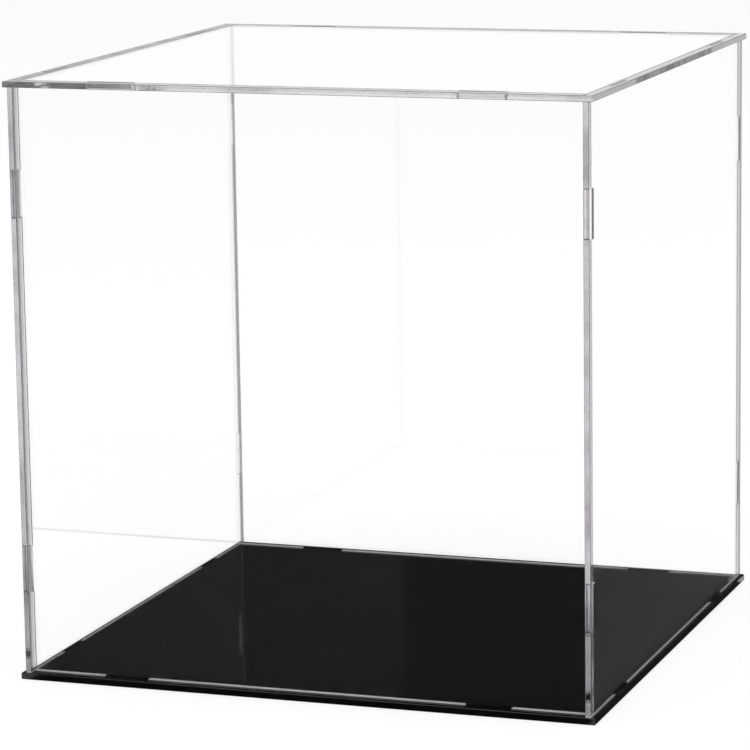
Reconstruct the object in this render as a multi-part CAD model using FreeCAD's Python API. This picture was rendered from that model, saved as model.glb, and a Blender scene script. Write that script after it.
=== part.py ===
"""A flat-pack display case: five clear sheets on a black base plate, held together by tabs in slots.

Millimetres, +Z up, front towards -Y. The origin is the middle of the base's underside.
"""
import FreeCAD, Part
import os

# The two plates
plate_width = 250.0      # left to right
plate_depth = 250.0      # front to back
base_sheet = 2.8         # thickness of the black base
clear_sheet = 2.5        # thickness of the top and of the four walls

# The walls between them
wall_height = 246.5      # from the base's upper face to the top's underside
face_margin = 1.8        # side panel's outer face in from the plates' edge
end_margin = 0.6         # side panel's front and back ends in from the plates' edge
side_overrun = 3.5       # side panel ends past the outer faces of the front and back panels

# The tabs, two on an edge
tab_length = 20.0
tab_spacing = 158.0      # centre to centre
tab_proud = 0.2          # how far a tab stands out of the top or of a side panel
base_tab_recess = 0.2    # how far a tab in the base ends above its underside

# Fits and finish
slot_gap = 0.1           # clearance all round a tab in its slot
seat_gap = 0.05          # air film between two sheets that meet
edge_break = 0.2         # bevel along the cut edges

# Where the walls stand
side_face = plate_width / 2 - face_margin        # outer face of a side panel
side_end = plate_depth / 2 - end_margin          # front or back end of a side panel
front_face = side_end - side_overrun             # outer face of the front or back panel
wall_foot = base_sheet
wall_middle = wall_foot + wall_height / 2
wall_head = wall_foot + wall_height
half_wall = wall_height / 2 - seat_gap           # half height of a wall between its tabs

# How far the tabs reach past the edge that they grow from
head_reach = seat_gap + clear_sheet + tab_proud
foot_reach = seat_gap + base_sheet - base_tab_recess
side_reach = seat_gap + clear_sheet + tab_proud

tab_centres = (-tab_spacing / 2, tab_spacing / 2)
across = FreeCAD.Vector(1, 0, 0)
upward = FreeCAD.Vector(0, 1, 0)


def edge_points(along, outward, half_run, half_across, reach):
    """Points of one edge of a sheet, from its first corner up to the next, with its tabs if it has any."""
    stops = [(-half_run, 0)]
    if reach:
        for centre in tab_centres:
            start = centre - tab_length / 2
            end = centre + tab_length / 2
            stops += [(start, 0), (start, reach), (end, reach), (end, 0)]
    return [along * run + outward * (half_across + out) for run, out in stops]


def sheet(half_width, half_height, thickness, side=0, head=0, foot=0):
    """A flat sheet in the XY plane with tabs on its sides, head and foot, its cut edges bevelled."""
    points = edge_points(across, -upward, half_width, half_height, foot)
    points += edge_points(upward, across, half_height, half_width, side)
    points += edge_points(-across, upward, half_width, half_height, head)
    points += edge_points(-upward, -across, half_height, half_width, side)
    outline = Part.makePolygon(points + points[:1])
    solid = Part.Face(outline).extrude(FreeCAD.Vector(0, 0, thickness))
    rims = [edge for edge in solid.Edges if edge.BoundBox.ZLength < edge_break / 2]
    return solid.makeChamfer(edge_break, rims)


def slots(places, along, thickness):
    """Cutters for the tabs of one panel: closed slots centred on the places, their length along a direction."""
    length = tab_length + 2 * slot_gap
    width = clear_sheet + 2 * slot_gap
    size = along * length + (across + upward - along) * width
    corner = size / -2 - FreeCAD.Vector(0, 0, thickness)
    return [Part.makeBox(size.x, size.y, 3 * thickness, place + corner) for place in places]


def plate(thickness):
    """The base or the top: a sheet with two slots for the tabs of each wall."""
    solid = sheet(plate_width / 2, plate_depth / 2, thickness)
    side_line = side_face - clear_sheet / 2
    front_line = front_face - clear_sheet / 2
    front_places = [FreeCAD.Vector(x, y, 0) for x in tab_centres for y in (-front_line, front_line)]
    side_places = [FreeCAD.Vector(x, y, 0) for x in (-side_line, side_line) for y in tab_centres]
    return solid.cut(slots(front_places, across, thickness) + slots(side_places, upward, thickness))


def front_sheet():
    """The front or back panel, which fits between the side panels and has tabs on all four edges."""
    half_width = side_face - clear_sheet - seat_gap
    return sheet(half_width, half_wall, clear_sheet, side_reach, head_reach, foot_reach)


def side_sheet():
    """The left or right panel, with slots near its ends for the front and back panels' tabs."""
    solid = sheet(side_end, half_wall, clear_sheet, 0, head_reach, foot_reach)
    front_line = front_face - clear_sheet / 2
    places = [FreeCAD.Vector(x, y, 0) for x in (-front_line, front_line) for y in tab_centres]
    return solid.cut(slots(places, upward, clear_sheet))


def stand(solid, turn, x, y, z):
    """A copy of a sheet, turned and set in its place."""
    placed = solid.copy()
    placed.Placement = FreeCAD.Placement(FreeCAD.Vector(x, y, z), turn)
    return placed


flat = FreeCAD.Rotation()
facing_front = FreeCAD.Rotation(FreeCAD.Vector(1, 0, 0), 90)
facing_side = FreeCAD.Rotation(FreeCAD.Vector(1, 1, 1), 120)

pieces = {
    "base_plate": stand(plate(base_sheet), flat, 0, 0, 0),
    "front_panel": stand(front_sheet(), facing_front, 0, clear_sheet - front_face, wall_middle),
    "back_panel": stand(front_sheet(), facing_front, 0, front_face, wall_middle),
    "left_panel": stand(side_sheet(), facing_side, -side_face, 0, wall_middle),
    "right_panel": stand(side_sheet(), facing_side, side_face - clear_sheet, 0, wall_middle),
    "top_panel": stand(plate(clear_sheet), flat, 0, 0, wall_head),
}

os.makedirs("parts", exist_ok=True)
for name, piece in pieces.items():
    piece.exportStep(f"parts/{name}.step")
    box = piece.BoundBox
    print(f"{name}: {box.XLength:.2f} x {box.YLength:.2f} x {box.ZLength:.2f} mm, {piece.Volume / 1000:.1f} cm3")
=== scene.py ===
# %% [markdown]
# # A flat-pack display case in clear and black acrylic
#
# Six flat sheets plug together with tabs and slots: a black base, four clear walls and a clear top.
# The sheets have all their shape from the CAD model, which is loaded here as a fixed frame, so this lesson
# is about what makes acrylic look like acrylic: the light around it, its polish and its cut edges.

# %% Load the CAD frame
import math

import bpy
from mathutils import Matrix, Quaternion, Vector


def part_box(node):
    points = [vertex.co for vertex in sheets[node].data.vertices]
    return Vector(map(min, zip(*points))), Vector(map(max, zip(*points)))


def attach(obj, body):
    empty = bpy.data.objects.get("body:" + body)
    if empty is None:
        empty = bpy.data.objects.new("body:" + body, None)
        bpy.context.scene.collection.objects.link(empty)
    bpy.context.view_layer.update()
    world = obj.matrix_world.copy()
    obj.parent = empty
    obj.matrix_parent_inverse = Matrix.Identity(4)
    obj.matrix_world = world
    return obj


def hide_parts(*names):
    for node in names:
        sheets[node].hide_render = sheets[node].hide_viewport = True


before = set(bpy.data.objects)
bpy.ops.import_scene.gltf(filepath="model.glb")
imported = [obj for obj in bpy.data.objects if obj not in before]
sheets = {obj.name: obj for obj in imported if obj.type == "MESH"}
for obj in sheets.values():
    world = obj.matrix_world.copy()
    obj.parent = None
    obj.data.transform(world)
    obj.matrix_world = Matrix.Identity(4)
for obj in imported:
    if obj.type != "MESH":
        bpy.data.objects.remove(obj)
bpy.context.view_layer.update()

scene = bpy.context.scene
print("sheets:", ", ".join(sorted(sheets)))

# %% [markdown]
# ## The camera
#
# The photograph looks down on the case a little, past its front right corner, through a long lens.
# A camera can be placed by hand until the edges line up. Here its angles come from the plates' corners, so
# the script only turns two angles and a distance into a place, and then tilts the camera by under a degree.

# %% Place the camera
TURN = math.radians(19.36)        # to the right of straight ahead
RISE = math.radians(10.78)        # above level
TILT = math.radians(-0.854)       # about the line of sight
DISTANCE = 1.6212
AIM = Vector((-0.0078, -0.0053, 0.1136))
SENSOR_WIDTH = 36.0               # in millimetres, as the focal length
FOCAL_LENGTH = 179.4
FARTHEST = 60.0                   # past the end of the floor

towards_camera = Vector((
    math.sin(TURN) * math.cos(RISE),
    -math.cos(TURN) * math.cos(RISE),
    math.sin(RISE),
))
lens = bpy.data.cameras.new("photo_camera")
lens.sensor_width = SENSOR_WIDTH
lens.lens = FOCAL_LENGTH
lens.clip_end = FARTHEST
camera = bpy.data.objects.new("photo_camera", lens)
scene.collection.objects.link(camera)
camera.location = AIM + towards_camera * DISTANCE
level_view = (-towards_camera).to_track_quat("-Z", "Y")
camera.rotation_euler = (level_view @ Quaternion((0, 0, 1), TILT)).to_euler()
scene.camera = camera
scene.view_settings.view_transform = "Standard"
print("camera at", [round(value, 4) for value in camera.location])

# %% [markdown]
# ## Small helpers for nodes
#
# A material is a graph, and most of its nodes are sums and comparisons. In the node editor you would add
# each Math node and drag the links. These helpers do the same in one line each.

# %% Node helpers
def connect(tree, value, socket):
    """Link an output to a socket, or set the socket to a plain number, vector or colour."""
    if isinstance(value, bpy.types.NodeSocket):
        tree.links.new(value, socket)
    else:
        socket.default_value = value


def math_node(tree, operation, *values):
    """A Math node's result. Each value is a number or another node's output."""
    node = tree.nodes.new("ShaderNodeMath")
    node.operation = operation
    for value, socket in zip(values, node.inputs):
        connect(tree, value, socket)
    return node.outputs[0]


def ramp(tree, value, start, end, low=0.0, high=1.0):
    """A Map Range node's result: low before start, high after end, and smooth between them."""
    node = tree.nodes.new("ShaderNodeMapRange")
    node.interpolation_type = "SMOOTHSTEP"
    for name, number in (("From Min", start), ("From Max", end), ("To Min", low), ("To Max", high)):
        node.inputs[name].default_value = number
    connect(tree, value, node.inputs["Value"])
    return node.outputs["Result"]


def coordinates(tree, kind="Object"):
    """The X, Y and Z of a point, or with another kind those of a direction."""
    source = tree.nodes.new("ShaderNodeTexCoord")
    split = tree.nodes.new("ShaderNodeSeparateXYZ")
    tree.links.new(source.outputs[kind], split.inputs[0])
    return split.outputs


print("helpers for links, sums, ramps and coordinates")

# %% [markdown]
# ## What the sheets see
#
# Clear acrylic has no colour of its own. It shows what is behind it, and at a flat angle it mirrors what is
# beside it. A white room would wash the black base out with its reflections, so studio photographers put
# black cards, called flags, where only a reflection can see them. Light Path tells which rays come straight
# from the camera or through a sheet, and which were mirrored once or twice on the way.

# %% Sort the rays
ONCE_OR_TWICE = (1.5, 1.0)        # a count within 1.0 of 1.5


def sort_rays(tree):
    """Masks for rays that look at or through things, and for rays mirrored once or twice, with their path."""
    path = tree.nodes.new("ShaderNodeLightPath").outputs
    looking = math_node(tree, "MAXIMUM", path["Is Camera Ray"], path["Is Transmission Ray"])
    looking = math_node(tree, "MAXIMUM", looking, path["Is Glossy Ray"])
    mirrored = math_node(tree, "COMPARE", path["Glossy Depth"], *ONCE_OR_TWICE)
    return looking, mirrored, path


print("rays are sorted by Light Path")

# %% [markdown]
# ## The room
#
# Around the case is a plain white room with soft even light. Its lower part is a black flag, but only in the
# mirror image that the base shows, so the base stays black while the clear sheets mirror white. The rays of
# that image are known by a film on the base, made further on, because they have crossed it.

# %% World
ROOM_LIGHT = 0.5                  # what falls on the object
FLAG_HIGH = 40.0                  # elevation of the flag's upper end, in degrees
FLAG_FADE = 8.0
FLAG_SHADE = 0.012

room = bpy.data.worlds.new("studio_room")
scene.world = room
room.use_nodes = True
tree = room.node_tree
looking, mirrored, path = sort_rays(tree)
direction = coordinates(tree, "Generated")
flag_start = math.sin(math.radians(FLAG_HIGH - FLAG_FADE))
flag_end = math.sin(math.radians(FLAG_HIGH))
flag = ramp(tree, direction["Z"], flag_start, flag_end, 1, 0)
off_base = math_node(tree, "GREATER_THAN", path["Transparent Depth"], 0.5)
flag = math_node(tree, "MULTIPLY", flag, math_node(tree, "MULTIPLY", mirrored, off_base))
white = math_node(tree, "MULTIPLY_ADD", flag, FLAG_SHADE - 1, 1.0)
extra = math_node(tree, "SUBTRACT", white, ROOM_LIGHT)
strength = math_node(tree, "MULTIPLY_ADD", extra, looking, ROOM_LIGHT)
tree.links.new(strength, tree.nodes["Background"].inputs["Strength"])
tree.nodes["Background"].inputs["Color"].default_value = (1, 1, 1, 1)
print("room light", ROOM_LIGHT)

# %% [markdown]
# ## A dark mat for reflections
#
# Each wall mirrors the table beside it, right over the base that is seen through the wall. A dark mat in the
# shape of a plus lies there, so that the base looks black through every wall and the table doesn't shine in
# the base's rim. Only rays that a near wall mirrored see it. It is a mask and not a mesh, because two
# surfaces need it: the table, and the film on the base.

# %% Mask of the mat
MAT_REACH = 0.37                  # from the middle to the end of each arm
MAT_END_BLUR = 0.01
MAT_ARM = 0.122                   # half the width of an arm
MAT_SIDE_BLUR = 0.001
MAT_SHADE = 0.03
FAR_WALL = 3                      # surfaces that a ray has crossed by the time a far wall mirrors it


def mat_mask(tree, mirrored, path):
    """A mask of the mat for rays that a near wall mirrored, and how far a point is from the middle."""
    near_wall = math_node(tree, "LESS_THAN", path["Transmission Depth"], FAR_WALL)
    place = coordinates(tree)
    reach_x = math_node(tree, "ABSOLUTE", place["X"])
    reach_y = math_node(tree, "ABSOLUTE", place["Y"])
    longer = math_node(tree, "MAXIMUM", reach_x, reach_y)
    shorter = math_node(tree, "MINIMUM", reach_x, reach_y)
    along_arm = ramp(tree, longer, MAT_REACH - MAT_END_BLUR, MAT_REACH + MAT_END_BLUR, 1, 0)
    across_arm = ramp(tree, shorter, MAT_ARM - MAT_SIDE_BLUR, MAT_ARM + MAT_SIDE_BLUR, 1, 0)
    plus = math_node(tree, "MULTIPLY", along_arm, across_arm)
    seen = math_node(tree, "MULTIPLY", mirrored, near_wall)
    return math_node(tree, "MULTIPLY", plus, seen), longer


print("mat", 2 * MAT_REACH, "m across, arms", 2 * MAT_ARM, "m wide")

# %% [markdown]
# ## The floor
#
# The case stands on a pale table that runs on as a white background. Part of its white is a glow that only
# the camera sees, and the rest is real light, which keeps the soft shadow at the base. In a mirror image the
# table is plain white, apart from the mat. A backdrop that curves up behind would do as well, but from other
# sides it would stand in the way.

# %% Floor
FLOOR_SIZE = 30.0
FLOOR_DROP = 0.0002               # below the base
FLOOR_LIT = 0.3                   # share of the white that is real light
FLOOR_GLOW = 0.80
FLOOR_COLOUR = 0.8                # for light that bounces off it


def level_plane(name, half_width, half_depth, level):
    """A level rectangle around the middle, as part of the stage."""
    bpy.ops.object.select_all(action="DESELECT")
    bpy.ops.mesh.primitive_plane_add(size=2, location=(0, 0, level))
    plane = bpy.context.object
    plane.name = name
    plane.scale = (half_width, half_depth, 1)
    bpy.ops.object.transform_apply(location=True, scale=True)
    print(name, round(2 * half_width, 4), "by", round(2 * half_depth, 4), "m")
    return plane


def stage_tree(plane, name):
    """The empty node tree of a new material on a stage piece, whose glow isn't taken for a lamp."""
    material = bpy.data.materials.new(name)
    material.use_nodes = True
    material.cycles.emission_sampling = "NONE"
    plane.data.materials.append(material)
    material.node_tree.nodes.clear()
    return material.node_tree


floor = level_plane("floor", FLOOR_SIZE / 2, FLOOR_SIZE / 2, -FLOOR_DROP)
tree = stage_tree(floor, "white_table")
looking, mirrored, path = sort_rays(tree)
on_mat, _ = mat_mask(tree, mirrored, path)
mirror_white = math_node(tree, "MULTIPLY_ADD", on_mat, MAT_SHADE - 1, 1.0)
lit_share = math_node(tree, "MULTIPLY_ADD", looking, FLOOR_LIT - FLOOR_COLOUR, FLOOR_COLOUR)
lit_share = math_node(tree, "MULTIPLY", lit_share, math_node(tree, "SUBTRACT", 1.0, mirrored))
glow = math_node(tree, "MULTIPLY", looking, FLOOR_GLOW)
mirror_glow = math_node(tree, "SUBTRACT", mirror_white, glow)
glow = math_node(tree, "MULTIPLY_ADD", mirrored, mirror_glow, glow)
lit = tree.nodes.new("ShaderNodeBsdfDiffuse")
tree.links.new(lit_share, lit.inputs["Color"])
shine = tree.nodes.new("ShaderNodeEmission")
tree.links.new(glow, shine.inputs["Strength"])
both = tree.nodes.new("ShaderNodeAddShader")
tree.links.new(lit.outputs[0], both.inputs[0])
tree.links.new(shine.outputs[0], both.inputs[1])
surface = tree.nodes.new("ShaderNodeOutputMaterial")
tree.links.new(both.outputs[0], surface.inputs["Surface"])

# %% [markdown]
# ## The film on the base
#
# A film that nobody sees lies on the base. It changes nothing there, but Light Path counts every transparent
# surface, so a ray that has met the base is marked. Around the base the film carries the dark mat once more,
# at the height of the base, so that the mat's mirror image ends where the base ends, seen from any side.

# %% Film
FILM_LIFT = 0.0002                # above the base


def seen_where(tree, mask, shade):
    """Finish a material that glows with a shade where the mask is 1 and is transparent elsewhere."""
    unseen = tree.nodes.new("ShaderNodeBsdfTransparent")
    glow = tree.nodes.new("ShaderNodeEmission")
    glow.inputs["Strength"].default_value = shade
    mix = tree.nodes.new("ShaderNodeMixShader")
    surface = tree.nodes.new("ShaderNodeOutputMaterial")
    tree.links.new(mask, mix.inputs["Fac"])
    tree.links.new(unseen.outputs[0], mix.inputs[1])
    tree.links.new(glow.outputs[0], mix.inputs[2])
    tree.links.new(mix.outputs[0], surface.inputs["Surface"])


base_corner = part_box("base_plate")[1]
film = level_plane("base_film", MAT_REACH, MAT_REACH, base_corner.z + FILM_LIFT)
tree = stage_tree(film, "film_with_mat")
_, mirrored, path = sort_rays(tree)
on_mat, reach = mat_mask(tree, mirrored, path)
beside_base = math_node(tree, "GREATER_THAN", reach, base_corner.x)
seen_where(tree, math_node(tree, "MULTIPLY", on_mat, beside_base), MAT_SHADE)

# %% [markdown]
# ## The white card
#
# A far wall mirrors the black base as well, and that would draw a grey patch across the white behind it. So
# a card lies just above the film, inside the walls. Only rays that were mirrored once and come from above
# see it as white, and for all others it is transparent. Very short rays pass as well, because close to its
# foot a wall mirrors the base over the base's own margin.

# %% Card
CARD_LIFT = 0.0004                # above the base
CARD_GAP = 0.0001                 # to the walls
CARD_WHITE = 1.0
ONCE = (1.0, 0.5)                 # a count within 0.5 of 1.0
SHORT_RAY = 0.0045

card_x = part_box("right_panel")[0].x - CARD_GAP
card_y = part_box("back_panel")[0].y - CARD_GAP
card = level_plane("mirror_card", card_x, card_y, base_corner.z + CARD_LIFT)
tree = stage_tree(card, "card_white")
path = tree.nodes.new("ShaderNodeLightPath").outputs
mirrored_once = math_node(tree, "COMPARE", path["Glossy Depth"], *ONCE)
from_afar = math_node(tree, "GREATER_THAN", path["Ray Length"], SHORT_RAY)
side = tree.nodes.new("ShaderNodeNewGeometry")
from_above = math_node(tree, "SUBTRACT", 1.0, side.outputs["Backfacing"])
shows_white = math_node(tree, "MULTIPLY", mirrored_once, from_above)
seen_where(tree, math_node(tree, "MULTIPLY", shows_white, from_afar), CARD_WHITE)

# %% [markdown]
# ## The lamp
#
# One large softbox hangs over the case. It is wide, so the shadow is soft, and it is high enough that the
# camera never meets its mirror image in the base or in the walls.

# %% Softbox
SOFTBOX_SIZE = 2.0
SOFTBOX_POWER = 20.0
SOFTBOX_PLACE = (0.0, -0.2, 2.2)

softbox_data = bpy.data.lights.new("softbox", "AREA")
softbox_data.shape = "RECTANGLE"
softbox_data.size = SOFTBOX_SIZE
softbox_data.size_y = SOFTBOX_SIZE
softbox_data.energy = SOFTBOX_POWER
softbox = bpy.data.objects.new("softbox", softbox_data)
scene.collection.objects.link(softbox)
softbox.location = SOFTBOX_PLACE
print("softbox", softbox_data.energy, "W")

# %% [markdown]
# ## Where the laser went
#
# Each sheet has two polished faces, a rim of cut edges and a tiny bevel between them. The three are told
# apart by the direction in which the surface points, compared with the direction across the sheet. Painting
# masks by hand would do it too, but this way one group serves all six sheets.

# %% Group: zones of a sheet
VALUE = "NodeSocketFloat"
VECTOR = "NodeSocketVector"
FACE_ABOVE = 0.9                  # cosine of the angle to the direction across the sheet
CUT_BELOW = 0.4


def new_group(name, inputs, outputs):
    """A shader node group with named sockets, and its input and output nodes."""
    group = bpy.data.node_groups.new(name, "ShaderNodeTree")
    for socket_name, kind in inputs:
        group.interface.new_socket(socket_name, in_out="INPUT", socket_type=kind)
    for socket_name, kind in outputs:
        group.interface.new_socket(socket_name, in_out="OUTPUT", socket_type=kind)
    return group, group.nodes.new("NodeGroupInput"), group.nodes.new("NodeGroupOutput")


sheet_zones, entry, result = new_group(
    "sheet_zones", [("Across", VECTOR)], [("Face", VALUE), ("Cut Edge", VALUE), ("Bevel", VALUE)])
surface_way = sheet_zones.nodes.new("ShaderNodeTexCoord")
dot = sheet_zones.nodes.new("ShaderNodeVectorMath")
dot.operation = "DOT_PRODUCT"
sheet_zones.links.new(surface_way.outputs["Normal"], dot.inputs[0])
sheet_zones.links.new(entry.outputs["Across"], dot.inputs[1])
facing = math_node(sheet_zones, "ABSOLUTE", dot.outputs["Value"])
face = math_node(sheet_zones, "GREATER_THAN", facing, FACE_ABOVE)
cut = math_node(sheet_zones, "LESS_THAN", facing, CUT_BELOW)
bevel = math_node(sheet_zones, "SUBTRACT", math_node(sheet_zones, "SUBTRACT", 1.0, face), cut)
for socket_name, value in (("Face", face), ("Cut Edge", cut), ("Bevel", bevel)):
    sheet_zones.links.new(value, result.inputs[socket_name])
print("group", sheet_zones.name)

# %% [markdown]
# ## The marks of the cut
#
# A cut edge is never as smooth as a face. The beam leaves fine lines straight across the sheet's thickness,
# close together, and every few millimetres their depth changes. A noise that is stretched across the sheet
# turns into such lines on every edge, whichever way the edge runs.

# %% Group: cut lines
STRETCH = 0.95                    # share of the way across that the noise doesn't see
FINE_SCALE = 1800
FINE_RANGE = (0.3, 0.7)
SLOW_SCALE = 120
SLOW_RANGE = (0.35, 0.65)

cut_lines, entry, result = new_group(
    "cut_lines", [("Across", VECTOR)], [("Lines", VALUE), ("Depth", VALUE)])
where = cut_lines.nodes.new("ShaderNodeTexCoord")
along_across = cut_lines.nodes.new("ShaderNodeVectorMath")
along_across.operation = "PROJECT"
cut_lines.links.new(where.outputs["Object"], along_across.inputs[0])
cut_lines.links.new(entry.outputs["Across"], along_across.inputs[1])
stretched = cut_lines.nodes.new("ShaderNodeVectorMath")
stretched.operation = "MULTIPLY_ADD"
stretched.inputs[1].default_value = (-STRETCH, -STRETCH, -STRETCH)
cut_lines.links.new(along_across.outputs["Vector"], stretched.inputs[0])
cut_lines.links.new(where.outputs["Object"], stretched.inputs[2])


def line_noise(scale, detail):
    """A noise that runs in lines across the sheet."""
    noise = cut_lines.nodes.new("ShaderNodeTexNoise")
    noise.inputs["Scale"].default_value = scale
    noise.inputs["Detail"].default_value = detail
    cut_lines.links.new(stretched.outputs["Vector"], noise.inputs["Vector"])
    return noise.outputs["Fac"]


fine = line_noise(FINE_SCALE, 2)
slow = line_noise(SLOW_SCALE, 1)
cut_lines.links.new(ramp(cut_lines, fine, *FINE_RANGE), result.inputs["Lines"])
cut_lines.links.new(ramp(cut_lines, slow, *SLOW_RANGE), result.inputs["Depth"])
print("group", cut_lines.name)

# %% [markdown]
# ## The marks of handling
#
# Polished sheets show every touch: broad faint smudges, hairline scratches from wiping and a little dust.
# Each is kept so weak that it is only seen where light catches it. The smudges and hairlines change the
# roughness, and the dust lightens the black base.

# %% Group: touch marks
SMUDGE_SCALE = 16
SMUDGE_RANGE = (0.45, 0.75)
WIPE_TURN = (0.5, 0.35, 0.6)
WIPE_SCALE = (14, 900, 14)
HAIRLINE_RANGE = (0.66, 0.74)
DUST_SCALE = 220
DUST_RANGE = (0.03, 0.07)
DUST_SHARE = 0.2                  # of the cells that hold a grain

touch_marks, entry, result = new_group(
    "touch_marks", [], [("Smudge", VALUE), ("Hairline", VALUE), ("Dust", VALUE)])
where = touch_marks.nodes.new("ShaderNodeTexCoord")
smudge = touch_marks.nodes.new("ShaderNodeTexNoise")
smudge.inputs["Scale"].default_value = SMUDGE_SCALE
smudge.inputs["Detail"].default_value = 4
smudge.inputs["Distortion"].default_value = 0.6
touch_marks.links.new(where.outputs["Object"], smudge.inputs["Vector"])
stroke = touch_marks.nodes.new("ShaderNodeMapping")
stroke.inputs["Rotation"].default_value = WIPE_TURN
stroke.inputs["Scale"].default_value = WIPE_SCALE
touch_marks.links.new(where.outputs["Object"], stroke.inputs["Vector"])
wipe = touch_marks.nodes.new("ShaderNodeTexNoise")
wipe.inputs["Scale"].default_value = 1
wipe.inputs["Detail"].default_value = 2
touch_marks.links.new(stroke.outputs["Vector"], wipe.inputs["Vector"])
grains = touch_marks.nodes.new("ShaderNodeTexVoronoi")
grains.inputs["Scale"].default_value = DUST_SCALE
touch_marks.links.new(where.outputs["Object"], grains.inputs["Vector"])
chance = touch_marks.nodes.new("ShaderNodeSeparateColor")
touch_marks.links.new(grains.outputs["Color"], chance.inputs[0])
small = ramp(touch_marks, grains.outputs["Distance"], *DUST_RANGE, 1, 0)
few = math_node(touch_marks, "GREATER_THAN", chance.outputs["Red"], 1 - DUST_SHARE)
touch_marks.links.new(ramp(touch_marks, smudge.outputs["Fac"], *SMUDGE_RANGE), result.inputs["Smudge"])
touch_marks.links.new(ramp(touch_marks, wipe.outputs["Fac"], *HAIRLINE_RANGE), result.inputs["Hairline"])
touch_marks.links.new(math_node(touch_marks, "MULTIPLY", small, few), result.inputs["Dust"])
print("group", touch_marks.name)

# %% [markdown]
# ## Small helpers for finishes
#
# The clear, frosted and black finishes start in the same way: a Principled shader, the groups, a few blended
# colours, a roughness and a fine relief. Here is what they share.

# %% Finish helpers
LINE_DEPTH = 0.00002              # of the relief on a cut edge


def new_finish(name):
    """A new material with its node tree and its Principled shader."""
    material = bpy.data.materials.new(name)
    material.use_nodes = True
    tree = material.node_tree
    return material, tree, tree.nodes["Principled BSDF"]


def place_group(tree, group, across=None):
    """The outputs of a node that uses one of the groups."""
    node = tree.nodes.new("ShaderNodeGroup")
    node.node_tree = group
    if across:
        node.inputs["Across"].default_value = across
    return node.outputs


def blend_colours(tree, mask, first, second):
    """The first colour where the mask is 0 and the second where it is 1."""
    node = tree.nodes.new("ShaderNodeMix")
    node.data_type = "RGBA"
    for value, name in ((mask, "Factor_Float"), (first, "A_Color"), (second, "B_Color")):
        connect(tree, value, next(s for s in node.inputs if s.identifier == name))
    return next(s for s in node.outputs if s.identifier == "Result_Color")


def relief(tree, height, shader):
    """Give a shader the small relief of the cut."""
    node = tree.nodes.new("ShaderNodeBump")
    node.inputs["Distance"].default_value = LINE_DEPTH
    connect(tree, height, node.inputs["Height"])
    tree.links.new(node.outputs["Normal"], shader.inputs["Normal"])


print("helpers for finishes, relief", LINE_DEPTH, "m deep")

# %% [markdown]
# ## Edges of the clear sheets
#
# The cut edges are where the eye finds a clear sheet. Their grey is painted shade that stands in for light
# piped along the sheet. How grey depends on the place, and that is painted as well: painted light on the
# front edge of the top, slots painted paler than the rim, and painted dark strips of shade on the ends of the
# side panels, past the front and back ones. These masks find the places.

# %% Masks on the clear sheets
# Painted grey shade on the cut edges, standing in for light piped along the sheet, in random darker and
# lighter stretches. The top's edges are painted paler than the walls'.
WALL_EDGE_PAINTED_GREYS = (0.52, 0.505, 0.53, 1), (0.74, 0.725, 0.75, 1)   # darker and lighter stretches
TOP_EDGE_PAINTED_GREYS = (0.66, 0.648, 0.67, 1), (0.82, 0.808, 0.83, 1)
# Painted light on the top's front edge, and painted shade at its left end.
PAINTED_LIT_EDGE = (0.94, 0.93, 0.945, 1)
PAINTED_LIGHT_FROM = -0.068                     # the top's front edge is fully lit to the right of this
PAINTED_LIGHT_FADE = 0.002
PAINTED_LIGHT_LEFT = 0.5                        # share of that light to the left of it
# Slot walls painted paler than the rim: painted light.
SLOT_PAINTED_PALE = (0.90, 0.89, 0.905, 1)
FACE_CLEAR = (0.99, 0.99, 0.992, 1)
# Painted shade: dark strips on the ends of the side panels, left off the front right one.
PAINTED_STRIP_SHADE = (0.24, 0.236, 0.244, 1)  # where a side panel runs on past the front or back panel
WALL_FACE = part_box("back_panel")[1].y
RIM = 0.124                           # cut edges nearer to the middle than this are slots
UPRIGHT = 0.5                         # an upright edge's normal rises less than this


def slot_walls(tree, place):
    """A mask of the upright cut edges that lie inside a sheet's outline."""
    normal = coordinates(tree, "Normal")
    reach_x = math_node(tree, "ABSOLUTE", place["X"])
    reach_y = math_node(tree, "ABSOLUTE", place["Y"])
    inside = math_node(tree, "LESS_THAN", math_node(tree, "MAXIMUM", reach_x, reach_y), RIM)
    upright = math_node(tree, "LESS_THAN", math_node(tree, "ABSOLUTE", normal["Z"]), UPRIGHT)
    return math_node(tree, "MULTIPLY", inside, upright)


def face_with_painted_strips(tree, place):
    """Colour of a side panel's faces: clear, but with painted grey shade on the ends, apart from the front
    right one.
    """
    past_front = math_node(tree, "LESS_THAN", place["Y"], -WALL_FACE)
    past_back = math_node(tree, "GREATER_THAN", place["Y"], WALL_FACE)
    on_left = math_node(tree, "LESS_THAN", place["X"], 0.0)
    painted_strips = math_node(tree, "MULTIPLY_ADD", past_front, on_left, past_back)
    return blend_colours(tree, painted_strips, FACE_CLEAR, PAINTED_STRIP_SHADE)


def painted_light_front(tree, place):
    """A mask of painted light on the front, with painted shade at the end on the left."""
    in_front = math_node(tree, "LESS_THAN", place["Y"], -WALL_FACE)
    light = ramp(tree, place["X"], PAINTED_LIGHT_FROM - PAINTED_LIGHT_FADE, PAINTED_LIGHT_FROM + PAINTED_LIGHT_FADE, PAINTED_LIGHT_LEFT, 1.0)
    return math_node(tree, "MULTIPLY", in_front, light)


print("side panels run on past", round(WALL_FACE, 4), "m")

# %% [markdown]
# ## Clear acrylic
#
# The faces let light straight through, so they are a Principled shader with full transmission and the index
# of refraction of acrylic. A Glass shader would do too, but this one exports well. The edge tint is a colour
# on the cut edges alone, and the fine cut lines make them a little rough.

# %% Clear acrylic material
ACRYLIC_IOR = 1.49
CLEAR_SMUDGE = 0.02                   # roughness that the marks add to a face
CLEAR_HAIRLINE = 0.02
CLEAR_EDGE = 0.06                     # roughness of a cut edge, and what its lines add
CLEAR_LINES = 0.08


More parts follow.
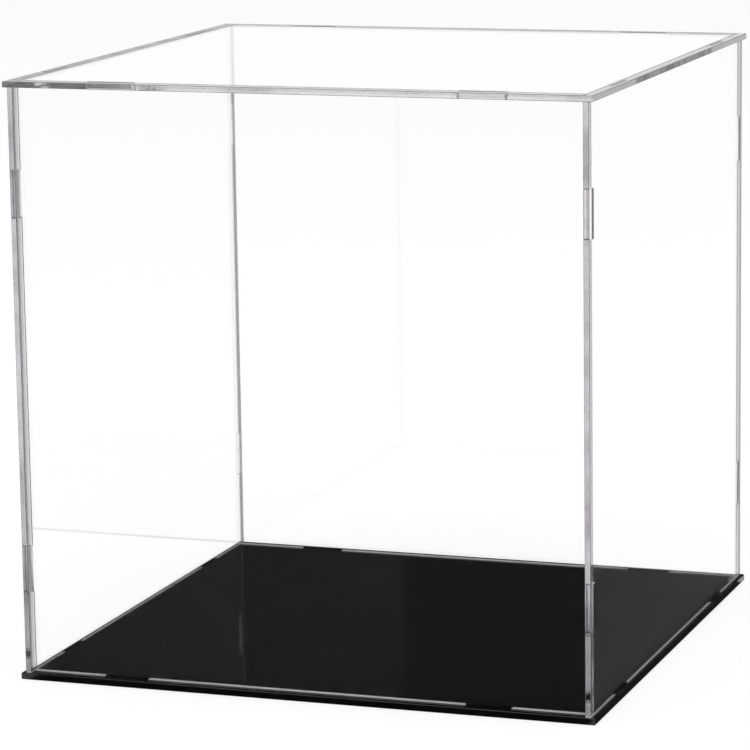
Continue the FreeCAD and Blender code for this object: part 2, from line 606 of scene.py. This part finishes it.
def clear_acrylic(name, across, edges=WALL_EDGE_PAINTED_GREYS, slotted=True, overruns=False, lit=False):
    """Clear sheet with a direction across it, with pale painted slots, painted shade on ends that run on or a
    painted lit front edge.
    """
    material, tree, shader = new_finish(name)
    shader.inputs["Transmission Weight"].default_value = 1.0
    shader.inputs["IOR"].default_value = ACRYLIC_IOR
    zones = place_group(tree, sheet_zones, across)
    lines = place_group(tree, cut_lines, across)
    marks = place_group(tree, touch_marks)
    place = coordinates(tree)

    edge = blend_colours(tree, lines["Depth"], *edges)
    # painted light on the top's front edge
    if lit:
        edge = blend_colours(tree, painted_light_front(tree, place), edge, PAINTED_LIT_EDGE)
    # slot walls painted paler
    if slotted:
        edge = blend_colours(tree, slot_walls(tree, place), edge, SLOT_PAINTED_PALE)
    # painted shade strips on the ends of the side panels
    face = face_with_painted_strips(tree, place) if overruns else FACE_CLEAR
    colour = blend_colours(tree, zones["Face"], edge, face)
    tree.links.new(colour, shader.inputs["Base Color"])

    on_face = math_node(tree, "MULTIPLY", marks["Smudge"], CLEAR_SMUDGE)
    on_face = math_node(tree, "MULTIPLY_ADD", marks["Hairline"], CLEAR_HAIRLINE, on_face)
    on_edge = math_node(tree, "MULTIPLY_ADD", lines["Lines"], CLEAR_LINES, CLEAR_EDGE)
    on_edge = math_node(tree, "MULTIPLY", on_edge, math_node(tree, "SUBTRACT", 1.0, zones["Face"]))
    tree.links.new(math_node(tree, "ADD", on_face, on_edge), shader.inputs["Roughness"])
    relief(tree, math_node(tree, "MULTIPLY", lines["Lines"], zones["Cut Edge"]), shader)
    return material


clear_finishes = {
    "front_panel": clear_acrylic("clear_acrylic_front", (0, 1, 0), slotted=False),
    "left_panel": clear_acrylic("clear_acrylic_side", (1, 0, 0), overruns=True),
    # the top gets painted light on its front edge
    "top_panel": clear_acrylic("clear_acrylic_top", (0, 0, 1), TOP_EDGE_PAINTED_GREYS, lit=True),
}
clear_finishes["back_panel"] = clear_finishes["front_panel"]
clear_finishes["right_panel"] = clear_finishes["left_panel"]
print("clear:", ", ".join(sorted(clear_finishes)))

# %% [markdown]
# ## Frosted acrylic, painted shade and painted light
#
# Where the beam broke the arris, and on the cut heads of the walls, the plastic is frosted and looks grey;
# the dark of that grey is partly painted shade. The rim of the top is painted with the grey of the heads that
# show through it, with painted light in front and on the right and a painted dark line of shade along its
# inside. The top's right edge is painted shade between its tabs, and its ends and left edge are painted
# light. At the feet of the walls, between the tabs, a white strip is painted light, standing in for light
# piped down the sheet.

# %% Frosted and painted shades and places
# Frosted bevel, whose dark grey is partly painted shade; the same grey paints a dark line of shade along the
# rim.
BEVEL_FROST_AND_SHADE = (0.20, 0.197, 0.205, 1)
# Painted shade on the top's right edge between its tabs, in darker and lighter stretches, and painted light
# on the rest of its ends.
PAINTED_CUT_SHADE_DARK = (0.22, 0.214, 0.226, 1)    # the top's right edge between its tabs
PAINTED_CUT_SHADE_LIGHT = (0.42, 0.412, 0.428, 1)
PAINTED_END_LIGHT = (0.75, 0.74, 0.76, 1)     # the same edge from its tabs outwards, and the left edge
END_FROM = 0.062
END_FADE = 0.004
# Grey of the frosted wall heads, also painted on the top's rim as painted shade for the heads seen through
# it.
FROST_AND_SHADE_DARK = (0.42, 0.41, 0.43, 1)
FROST_AND_SHADE_LIGHT = (0.58, 0.57, 0.59, 1)
# Painted light on the rim in front and on the right, a painted dark line of shade along its inside, and a
# wider rim on the left painted as the left wall's reflection.
PAINTED_LIT_RIM = (0.80, 0.79, 0.81, 1)       # the rim in front and on the right catches more light
PAINTED_SHADE_LINE = 0.0007                     # width of a dark line along the inside of the rim
PAINTED_IMAGE_WIDTH = 0.0022                    # the left wall's own image widens the rim there
# Painted light: a white strip at the foot of each wall, standing in for light piped down the sheet.
PAINTED_FOOT_LIGHT = (0.98, 0.975, 0.985, 1)
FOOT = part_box("base_plate")[1].z
FOOT_HEAD = FOOT + 0.00047
RIGHT_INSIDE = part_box("right_panel")[0].x
LEFT_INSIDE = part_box("left_panel")[1].x + PAINTED_IMAGE_WIDTH
BACK_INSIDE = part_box("back_panel")[0].y


def painted_rim_colour(tree, place, plain):
    """Colour of the top's rim: painted light in front and on the right, with a painted dark line of shade on
    its left and right.
    """
    # painted light in front and on the right
    on_right = math_node(tree, "GREATER_THAN", place["X"], RIGHT_INSIDE)
    painted_bright = math_node(tree, "MAXIMUM", on_right, painted_light_front(tree, place))
    colour = blend_colours(tree, painted_bright, plain, PAINTED_LIT_RIM)
    # painted dark lines of shade along the inside of the rim
    for middle in (LEFT_INSIDE - PAINTED_SHADE_LINE / 2, RIGHT_INSIDE + PAINTED_SHADE_LINE / 2):
        line = math_node(tree, "COMPARE", place["X"], middle, PAINTED_SHADE_LINE / 2)
        colour = blend_colours(tree, line, colour, BEVEL_FROST_AND_SHADE)
    return colour


def painted_top_end_colour(tree, place, depth):
    """Colour of the top's left and right edges: painted shade on the right one between its tabs, painted
    light elsewhere.
    """
    cut = blend_colours(tree, depth, PAINTED_CUT_SHADE_DARK, PAINTED_CUT_SHADE_LIGHT)
    from_middle = math_node(tree, "ABSOLUTE", place["Y"])
    at_end = ramp(tree, from_middle, END_FROM - END_FADE, END_FROM + END_FADE)
    on_left = math_node(tree, "LESS_THAN", place["X"], 0.0)
    return blend_colours(tree, math_node(tree, "MAXIMUM", at_end, on_left), cut, PAINTED_END_LIGHT)


print("rim from", round(LEFT_INSIDE, 4), "and", round(RIGHT_INSIDE, 4), "m outwards")

# %% [markdown]
# ## Frosted acrylic with painted shade and light
#
# One shader could be clear and frosted at once, with its transmission set by a mask. The export would lose
# that, so the frosted places have a second material, with little transmission. Its shade then hardly changes
# with what is behind it.

# %% Frosted and painted acrylic material
FROST_CLEAR = 0.2                     # transmission
FROST_GLOSS = 0.15
FROST_ROUGH = 0.4                     # and what the lines of the cut add
FROST_LINES = 0.15


def frosted_and_painted_acrylic(name, across, rimmed=False):
    """Frosted places of a sheet with a direction across it, with their painted shade and painted light. The
    top is rimmed.
    """
    material, tree, shader = new_finish(name)
    shader.inputs["Transmission Weight"].default_value = FROST_CLEAR
    shader.inputs["IOR"].default_value = ACRYLIC_IOR
    shader.inputs["Specular IOR Level"].default_value = FROST_GLOSS
    zones = place_group(tree, sheet_zones, across)
    lines = place_group(tree, cut_lines, across)
    place = coordinates(tree)

    # frosted heads; on the top also the painted rim shade, light and lines and the painted ends
    colour = blend_colours(tree, lines["Depth"], FROST_AND_SHADE_DARK, FROST_AND_SHADE_LIGHT)
    if rimmed:
        colour = painted_rim_colour(tree, place, colour)
        cut = painted_top_end_colour(tree, place, lines["Depth"])
        colour = blend_colours(tree, zones["Cut Edge"], colour, cut)
    # frosted bevel, its dark grey partly painted shade
    colour = blend_colours(tree, zones["Bevel"], colour, BEVEL_FROST_AND_SHADE)
    # painted light at the foot of the wall
    half_foot = (FOOT_HEAD - FOOT) / 2
    at_foot = math_node(tree, "COMPARE", place["Z"], FOOT + half_foot, half_foot)
    colour = blend_colours(tree, at_foot, colour, PAINTED_FOOT_LIGHT)
    tree.links.new(colour, shader.inputs["Base Color"])
    roughness = math_node(tree, "MULTIPLY_ADD", lines["Lines"], FROST_LINES, FROST_ROUGH)
    tree.links.new(roughness, shader.inputs["Roughness"])
    relief(tree, lines["Lines"], shader)
    return material


frosted_and_painted_finishes = {
    "front_panel": frosted_and_painted_acrylic("frosted_painted_acrylic_front", (0, 1, 0)),
    "left_panel": frosted_and_painted_acrylic("frosted_painted_acrylic_side", (1, 0, 0)),
    "top_panel": frosted_and_painted_acrylic("frosted_painted_acrylic_top", (0, 0, 1), rimmed=True),
}
frosted_and_painted_finishes["back_panel"] = frosted_and_painted_finishes["front_panel"]
frosted_and_painted_finishes["right_panel"] = frosted_and_painted_finishes["left_panel"]
print("frosted:", ", ".join(sorted(frosted_and_painted_finishes)))

# %% [markdown]
# ## Copy and cut the clear sheets
#
# The CAD sheets stay as they are. Each clear one gets a copy with two material slots, clear, and frosted with
# painted shade and light. The copy's loose triangles are merged. Bisect cuts the top along the inner faces of
# the walls and each wall just above its foot and beside its tabs, so that the painted rim and foot have faces
# of their own. A cut across a flat face leaves the shape as it was.

# %% Copy and cut
MERGE_WITHIN = 0.000001
X_WAY = Vector((1, 0, 0))
Y_WAY = Vector((0, 1, 0))
Z_WAY = Vector((0, 0, 1))
TAB_CENTRE = 0.079                    # from the middle of a wall
TAB_HALF = 0.010
TAB_ENDS = [side * (TAB_CENTRE + end * TAB_HALF) for side in (-1, 1) for end in (-1, 1)]


def merged_copy(name):
    """A copy of a CAD sheet with its triangles merged, as the active piece."""
    piece = bpy.data.objects.new(name.replace("panel", "sheet"), sheets[name].data.copy())
    scene.collection.objects.link(piece)
    bpy.ops.object.select_all(action="DESELECT")
    bpy.context.view_layer.objects.active = piece
    piece.select_set(True)
    bpy.ops.object.mode_set(mode="EDIT")
    bpy.ops.mesh.select_all(action="SELECT")
    bpy.ops.mesh.remove_doubles(threshold=MERGE_WITHIN)
    bpy.ops.object.mode_set(mode="OBJECT")
    return piece


def cut_active(direction, *distances):
    """Cut the active piece's faces along planes at distances from the middle."""
    bpy.ops.object.mode_set(mode="EDIT")
    for distance in distances:
        bpy.ops.mesh.select_all(action="SELECT")
        bpy.ops.mesh.bisect(plane_co=direction * distance, plane_no=direction)
    bpy.ops.object.mode_set(mode="OBJECT")


print("tabs end at", [round(end, 3) for end in TAB_ENDS])

# %% [markdown]
# ## Sort the faces
#
# Every face of a copy is clear or frosted, by the way that it points and by its place. The frosted material
# also carries the painted shade and the painted light. Outside the left wall the foot stays clear, without
# painted light, so that a dark line of the base's margin shows there.

# %% Which faces are frosted or painted
def is_foot(polygon, along):
    """True for the foot of a wall between its tabs, which stand at places along a direction. The foot is
    painted light.
    """
    at_foot = FOOT < polygon.center.z < FOOT_HEAD
    between_tabs = abs(abs(polygon.center.dot(along)) - TAB_CENTRE) > TAB_HALF
    outside_left = polygon.center.x < 0 and polygon.normal.x < -FACE_ABOVE
    return at_foot and between_tabs and not outside_left


def is_frosted_or_painted(polygon, across):
    """True for a bevel, a head that points up, the top's rim and the top's left and right edges, which are
    frosted or painted.
    """
    bevel = CUT_BELOW < abs(polygon.normal.dot(across)) < FACE_ABOVE
    x, y, _ = polygon.center
    over_wall = x < LEFT_INSIDE or x > RIGHT_INSIDE or abs(y) > BACK_INSIDE
    head_or_rim = polygon.normal.z > FACE_ABOVE and over_wall
    top_end = abs(x) > RIM and abs(polygon.normal.x) > FACE_ABOVE
    return bevel or head_or_rim or top_end


print("foot", round(1000 * (FOOT_HEAD - FOOT), 2), "mm high")

# %% [markdown]
# ## Dress the clear sheets
#
# Now the copies are made, cut and sorted, and each one rides on the body of the sheet that it stands for. The
# four walls move together, and the top moves on its own.

# %% Dressed copies
WAYS = {                              # the directions across and along each sheet
    "front_panel": (Y_WAY, X_WAY),
    "back_panel": (Y_WAY, X_WAY),
    "left_panel": (X_WAY, Y_WAY),
    "right_panel": (X_WAY, Y_WAY),
    "top_panel": (Z_WAY, X_WAY),
}
for name, (across, along) in WAYS.items():
    piece = merged_copy(name)
    if name == "top_panel":
        cut_active(X_WAY, LEFT_INSIDE, RIGHT_INSIDE)
        cut_active(Y_WAY, -BACK_INSIDE, BACK_INSIDE)
    else:
        cut_active(Z_WAY, FOOT_HEAD)
        cut_active(along, *TAB_ENDS)
    piece.data.materials.clear()
    piece.data.materials.append(clear_finishes[name])
    piece.data.materials.append(frosted_and_painted_finishes[name])
    frosted = 0
    for polygon in piece.data.polygons:
        polygon.material_index = int(is_frosted_or_painted(polygon, across) or is_foot(polygon, along))
        frosted += polygon.material_index
    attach(piece, "top" if name == "top_panel" else "walls")
    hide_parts(name)
    print(piece.name, len(piece.data.polygons), "faces,", frosted, "frosted")

# %% [markdown]
# ## Black acrylic
#
# The base is the same plastic with black dye. Its face is polished, so nearly all that is seen of it is
# reflection. The cut rim is duller. The base needs no copy, because one material serves all its faces.

# %% Black acrylic material
FACE_BLACK = (0.004, 0.0038, 0.005, 1)
DUST_GREY = (0.05, 0.05, 0.048, 1)
EDGE_BLACK = (0.002, 0.002, 0.0025, 1), (0.005, 0.005, 0.0055, 1)   # darker and lighter stretches
BLACK_FACE = 0.05                     # roughness of the face, and what the marks add
BLACK_SMUDGE = 0.06
BLACK_HAIRLINE = 0.05
BLACK_EDGE = 0.12                     # roughness of a cut edge, and what its lines add
BLACK_LINES = 0.1


def black_acrylic(name, across):
    """Black sheet with a direction across it."""
    material, tree, shader = new_finish(name)
    shader.inputs["IOR"].default_value = ACRYLIC_IOR
    zones = place_group(tree, sheet_zones, across)
    lines = place_group(tree, cut_lines, across)
    marks = place_group(tree, touch_marks)

    dusty = blend_colours(tree, marks["Dust"], FACE_BLACK, DUST_GREY)
    edge = blend_colours(tree, lines["Depth"], *EDGE_BLACK)
    colour = blend_colours(tree, zones["Face"], edge, dusty)
    tree.links.new(colour, shader.inputs["Base Color"])

    on_face = math_node(tree, "MULTIPLY_ADD", marks["Smudge"], BLACK_SMUDGE, BLACK_FACE)
    on_face = math_node(tree, "MULTIPLY_ADD", marks["Hairline"], BLACK_HAIRLINE, on_face)
    on_edge = math_node(tree, "MULTIPLY_ADD", lines["Lines"], BLACK_LINES, BLACK_EDGE)
    on_face = math_node(tree, "MULTIPLY", on_face, zones["Face"])
    on_edge = math_node(tree, "MULTIPLY", on_edge, math_node(tree, "SUBTRACT", 1.0, zones["Face"]))
    tree.links.new(math_node(tree, "ADD", on_face, on_edge), shader.inputs["Roughness"])
    relief(tree, math_node(tree, "MULTIPLY", lines["Lines"], zones["Cut Edge"]), shader)
    return material


base_finish = black_acrylic("black_acrylic_base", (0, 0, 1))
for slot in sheets["base_plate"].material_slots:
    slot.material = base_finish
print("base_plate has", base_finish.name)

# %% [markdown]
# ## Let light travel along a sheet
#
# Light inside a clear sheet bounces from face to face many times before it leaves through an edge. With
# Blender's usual limits it would stop on the way and the edges would turn black, so the limits are raised.

# %% Bounces
scene.cycles.max_bounces = 36
scene.cycles.glossy_bounces = 32
scene.cycles.transmission_bounces = 36
print("bounces", scene.cycles.max_bounces)
